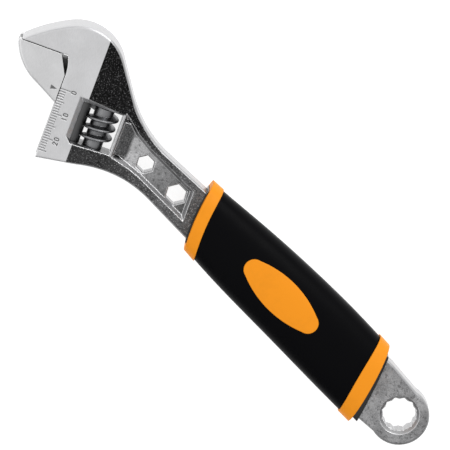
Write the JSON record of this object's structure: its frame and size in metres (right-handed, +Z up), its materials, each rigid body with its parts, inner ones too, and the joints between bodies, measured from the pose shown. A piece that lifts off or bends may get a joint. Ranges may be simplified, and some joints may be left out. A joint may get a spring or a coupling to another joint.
{
  "type": "adjustable wrench",
  "caption": "Adjustable wrench with a worm-driven sliding jaw, hex sockets in the neck, a 12-point ring end and a soft two-colour grip.",
  "frame": {"origin": "middle of the bounding box, on the surface that the wrench lies on, scale side up", "axes": "+X along the handle from the head to the ring end, +Y across the handle towards the fixed jaw, +Z up out of the face with the scale"},
  "size_m": [0.2187, 0.0524, 0.0175],
  "materials": {
    "forged_steel": "satin ground faces with dark forged recesses",
    "jaw_steel": "satin, ground",
    "worm_steel": "plated, glossy",
    "pin_steel": "turned",
    "spring_steel": "drawn wire",
    "black_liner": "gloss moulded",
    "black_grip": "satin soft grip",
    "orange_grip": "satin soft grip",
    "orange_badge": "satin soft grip"
  },
  "bodies": {
    "body": {"body": "forged_steel", "worm_pin": "pin_steel", "worm_spring": "spring_steel", "grip_liner": "black_liner", "grip_cover": "black_grip", "front_collar": "orange_grip", "rear_collar": "orange_grip", "badge_front": "orange_badge", "badge_back": "orange_badge"},
    "jaw": {"movable_jaw": "jaw_steel"},
    "worm": {"worm": "worm_steel"}
  },
  "joints": [
    {"name": "jaw_slide", "type": "slide", "parent": "body", "child": "jaw", "axis": [0.4305, -0.9026, 0], "range_m": [-0.00025, 0.024]},
    {"name": "worm_spin", "type": "hinge", "parent": "body", "child": "worm", "pos_m": [-0.06336, -0.00232, 0.00873], "axis": [-0.4305, 0.9026, 0], "range_deg": [-30, 2280]}
  ],
  "couplings": [
    {"joint": "worm_spin", "follows": "jaw_slide", "rad_per_m": 1653.5}
  ]
}
